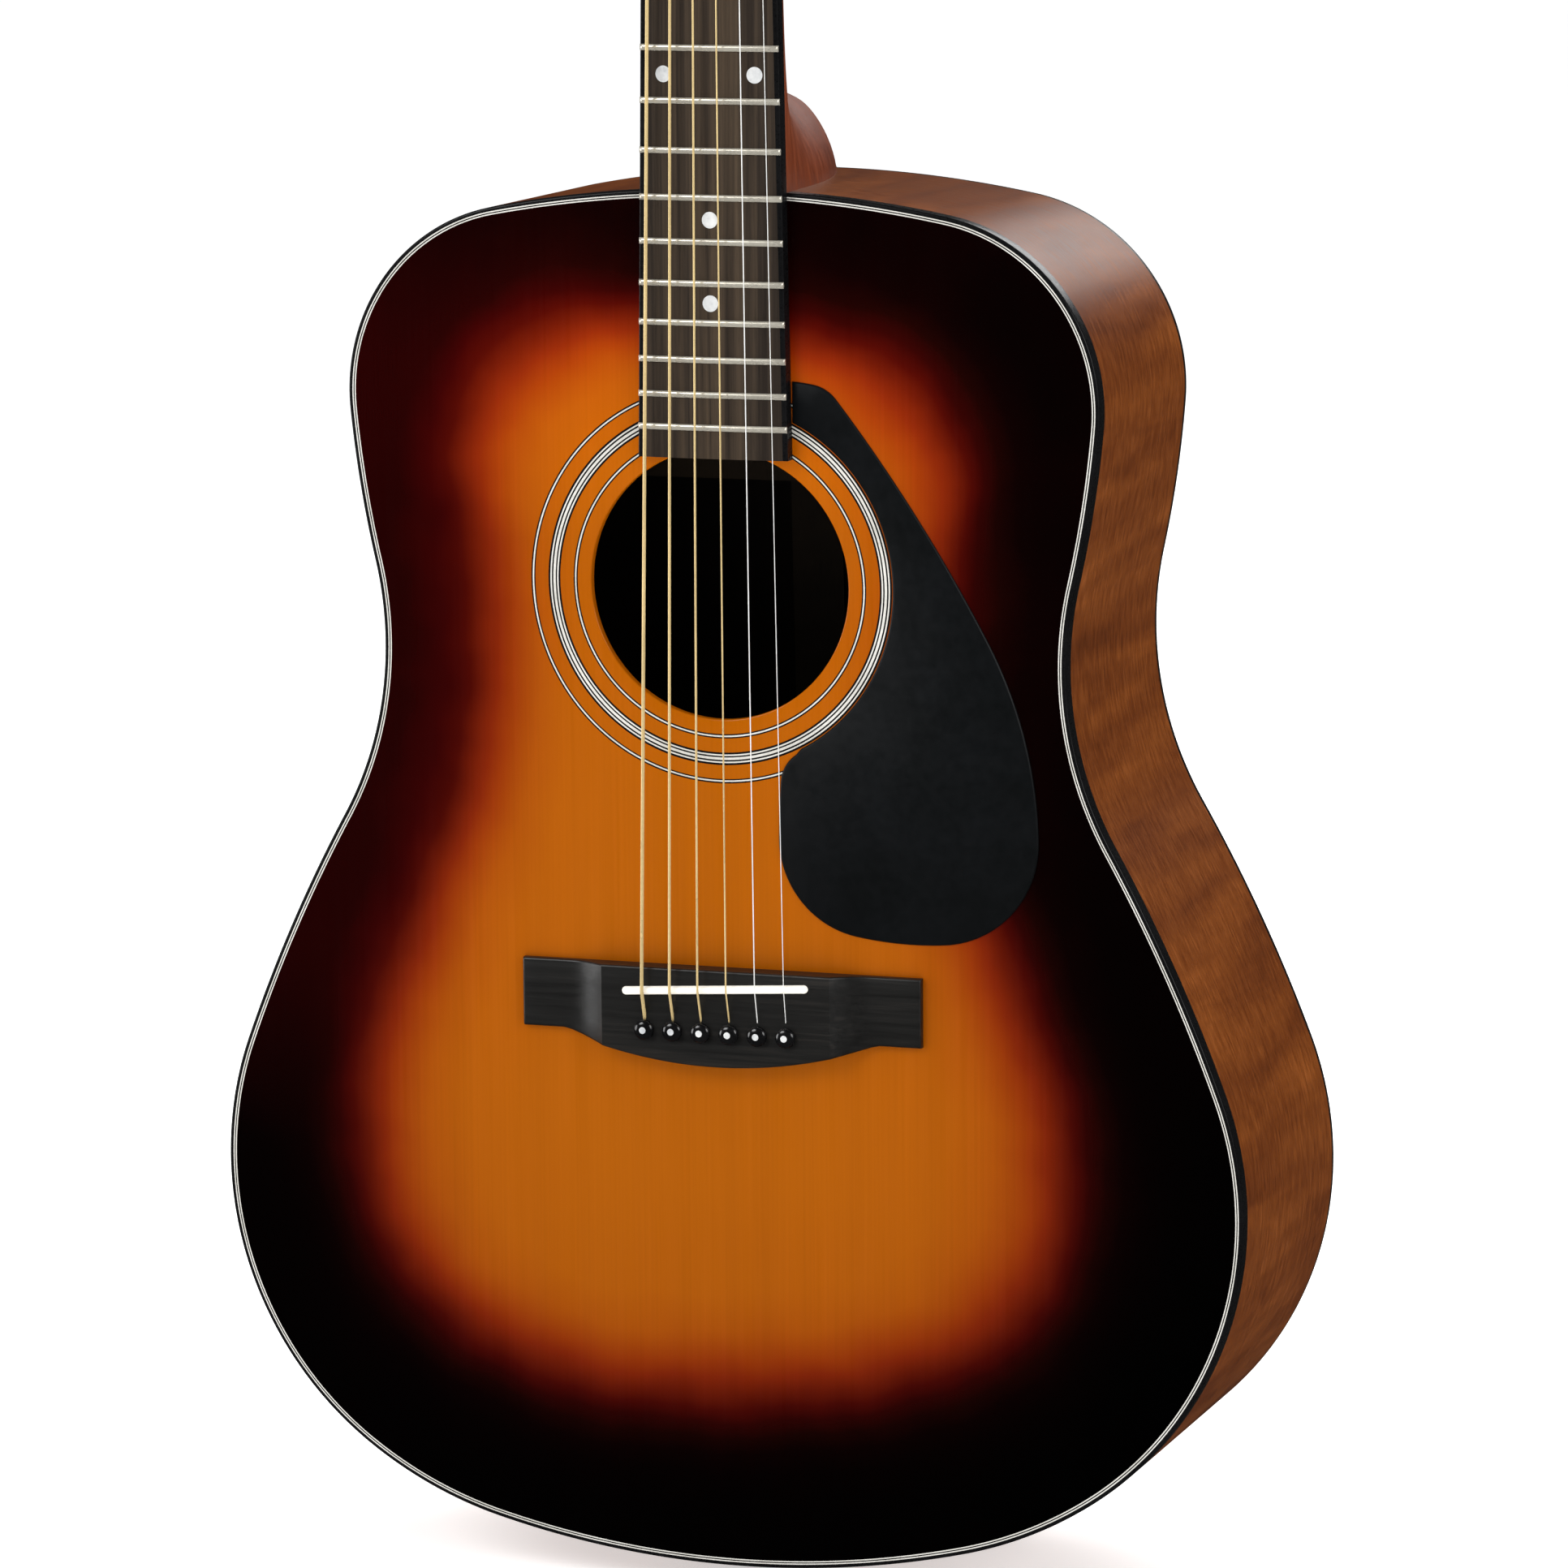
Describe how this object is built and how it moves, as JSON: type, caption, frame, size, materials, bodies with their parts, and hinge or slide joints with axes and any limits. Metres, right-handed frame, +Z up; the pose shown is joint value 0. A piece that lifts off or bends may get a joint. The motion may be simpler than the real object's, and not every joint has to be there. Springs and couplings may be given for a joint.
{
  "type": "acoustic guitar",
  "caption": "Steel-string acoustic guitar with a sunburst dreadnought body, pickguard, pin bridge, dark fingerboard and geared tuners that turn the string posts.",
  "frame": {"origin": "on the strap button's axis, at the outside surface of the tail, halfway through the body's depth there", "axes": "+X to the treble side, +Y from the soundboard to the back, +Z up the neck"},
  "size_m": [0.3938, 0.1463, 1.0278],
  "materials": {
    "soundboard_spruce": "gloss sunburst lacquer over straight-grained spruce",
    "back_mahogany": "satin ribbon-grained mahogany",
    "side_mahogany": "satin ribbon-grained mahogany",
    "black_binding": "polished black plastic",
    "white_purfling": "white and black lines under lacquer",
    "rosette_rings": "white and black rings under lacquer",
    "inner_wood": "unfinished wood",
    "block_wood": "unfinished mahogany",
    "brace_spruce": "unfinished spruce",
    "pickguard_black": "satin black plastic",
    "bridge_ebony": "oiled dark hardwood",
    "nut_bone": "polished bone white",
    "pin_black": "polished black plastic",
    "dot_white": "polished white",
    "neck_mahogany": "satin red-brown mahogany",
    "fingerboard_rosewood": "oiled streaked rosewood",
    "fret_nickel": "polished nickel silver",
    "rod_steel": "plain steel",
    "nut_brass": "plain brass",
    "string_steel": "bright plain steel wire",
    "string_bronze": "bronze-wound wire",
    "tuner_chrome": "polished chrome"
  },
  "bodies": {
    "guitar": {"soundboard": "soundboard_spruce", "back_plate": "back_mahogany", "side_bass": "side_mahogany", "side_treble": "side_mahogany", "top_binding": "black_binding", "top_purfling": "white_purfling", "back_binding": "black_binding", "rosette": "rosette_rings", "top_linings": "inner_wood", "back_linings": "inner_wood", "neck_block": "block_wood", "tail_block": "block_wood", "x_braces": "brace_spruce", "upper_face_brace": "brace_spruce", "tone_bars": "brace_spruce", "finger_braces": "brace_spruce", "soundhole_braces": "brace_spruce", "bridge_plate": "inner_wood", "back_braces": "brace_spruce", "back_seam_strip": "brace_spruce", "tail_strip": "black_binding", "pickguard": "pickguard_black", "bridge": "bridge_ebony", "saddle": "nut_bone", "bridge_pins": "pin_black", "bridge_pin_dots": "dot_white", "strap_button": "pin_black", "neck": "neck_mahogany", "headstock": "neck_mahogany", "headstock_veneer": "bridge_ebony", "heel_cap": "pin_black", "fingerboard": "fingerboard_rosewood", "fingerboard_binding": "black_binding", "frets": "fret_nickel", "fingerboard_dots": "dot_white", "nut": "nut_bone", "truss_rod": "rod_steel", "neck_bolts": "rod_steel", "string_1": "string_steel", "string_2": "string_steel", "string_3": "string_bronze", "string_4": "string_bronze", "string_5": "string_bronze", "string_6": "string_bronze", "tuner_housings": "tuner_chrome", "tuner_bushings": "tuner_chrome", "tuner_screws": "tuner_chrome"},
    "button_1": {"tuner_button_1": "tuner_chrome"},
    "post_1": {"tuner_post_1": "tuner_chrome"},
    "button_2": {"tuner_button_2": "tuner_chrome"},
    "post_2": {"tuner_post_2": "tuner_chrome"},
    "button_3": {"tuner_button_3": "tuner_chrome"},
    "post_3": {"tuner_post_3": "tuner_chrome"},
    "button_4": {"tuner_button_4": "tuner_chrome"},
    "post_4": {"tuner_post_4": "tuner_chrome"},
    "button_5": {"tuner_button_5": "tuner_chrome"},
    "post_5": {"tuner_post_5": "tuner_chrome"},
    "button_6": {"tuner_button_6": "tuner_chrome"},
    "post_6": {"tuner_post_6": "tuner_chrome"},
    "rod_nut": {"truss_rod_nut": "nut_brass"}
  },
  "joints": [
    {"name": "button_1_turn", "type": "hinge", "parent": "guitar", "child": "button_1", "pos_m": [0.0205, -0.03864, 0.8917], "axis": [1, 0, 0], "continuous": true},
    {"name": "post_1_turn", "type": "hinge", "parent": "guitar", "child": "post_1", "pos_m": [0.0205, -0.05611, 0.90636], "axis": [0, -0.9703, 0.2419], "continuous": true},
    {"name": "button_2_turn", "type": "hinge", "parent": "guitar", "child": "button_2", "pos_m": [0.022, -0.02897, 0.93051], "axis": [1, 0, 0], "continuous": true},
    {"name": "post_2_turn", "type": "hinge", "parent": "guitar", "child": "post_2", "pos_m": [0.022, -0.04644, 0.94517], "axis": [0, -0.9703, 0.2419], "continuous": true},
    {"name": "button_3_turn", "type": "hinge", "parent": "guitar", "child": "button_3", "pos_m": [0.0235, -0.01929, 0.96932], "axis": [1, 0, 0], "continuous": true},
    {"name": "post_3_turn", "type": "hinge", "parent": "guitar", "child": "post_3", "pos_m": [0.0235, -0.03676, 0.98399], "axis": [0, -0.9703, 0.2419], "continuous": true},
    {"name": "button_4_turn", "type": "hinge", "parent": "guitar", "child": "button_4", "pos_m": [-0.0235, -0.01929, 0.96932], "axis": [-1, 0, 0], "continuous": true},
    {"name": "post_4_turn", "type": "hinge", "parent": "guitar", "child": "post_4", "pos_m": [-0.0235, -0.03676, 0.98399], "axis": [0, -0.9703, 0.2419], "continuous": true},
    {"name": "button_5_turn", "type": "hinge", "parent": "guitar", "child": "button_5", "pos_m": [-0.022, -0.02897, 0.93051], "axis": [-1, 0, 0], "continuous": true},
    {"name": "post_5_turn", "type": "hinge", "parent": "guitar", "child": "post_5", "pos_m": [-0.022, -0.04644, 0.94517], "axis": [0, -0.9703, 0.2419], "continuous": true},
    {"name": "button_6_turn", "type": "hinge", "parent": "guitar", "child": "button_6", "pos_m": [-0.0205, -0.03864, 0.8917], "axis": [-1, 0, 0], "continuous": true},
    {"name": "post_6_turn", "type": "hinge", "parent": "guitar", "child": "post_6", "pos_m": [-0.0205, -0.05611, 0.90636], "axis": [0, -0.9703, 0.2419], "continuous": true},
    {"name": "truss_rod_nut_turn", "type": "hinge", "parent": "guitar", "child": "rod_nut", "pos_m": [0, -0.0575, 0.448], "axis": [0, 0, 1], "range_deg": [-180, 180]}
  ],
  "couplings": [
    {"joint": "post_1_turn", "follows": "button_1_turn", "ratio": 0.071429},
    {"joint": "post_2_turn", "follows": "button_2_turn", "ratio": 0.071429},
    {"joint": "post_3_turn", "follows": "button_3_turn", "ratio": 0.071429},
    {"joint": "post_4_turn", "follows": "button_4_turn", "ratio": -0.071429},
    {"joint": "post_5_turn", "follows": "button_5_turn", "ratio": -0.071429},
    {"joint": "post_6_turn", "follows": "button_6_turn", "ratio": -0.071429}
  ]
}
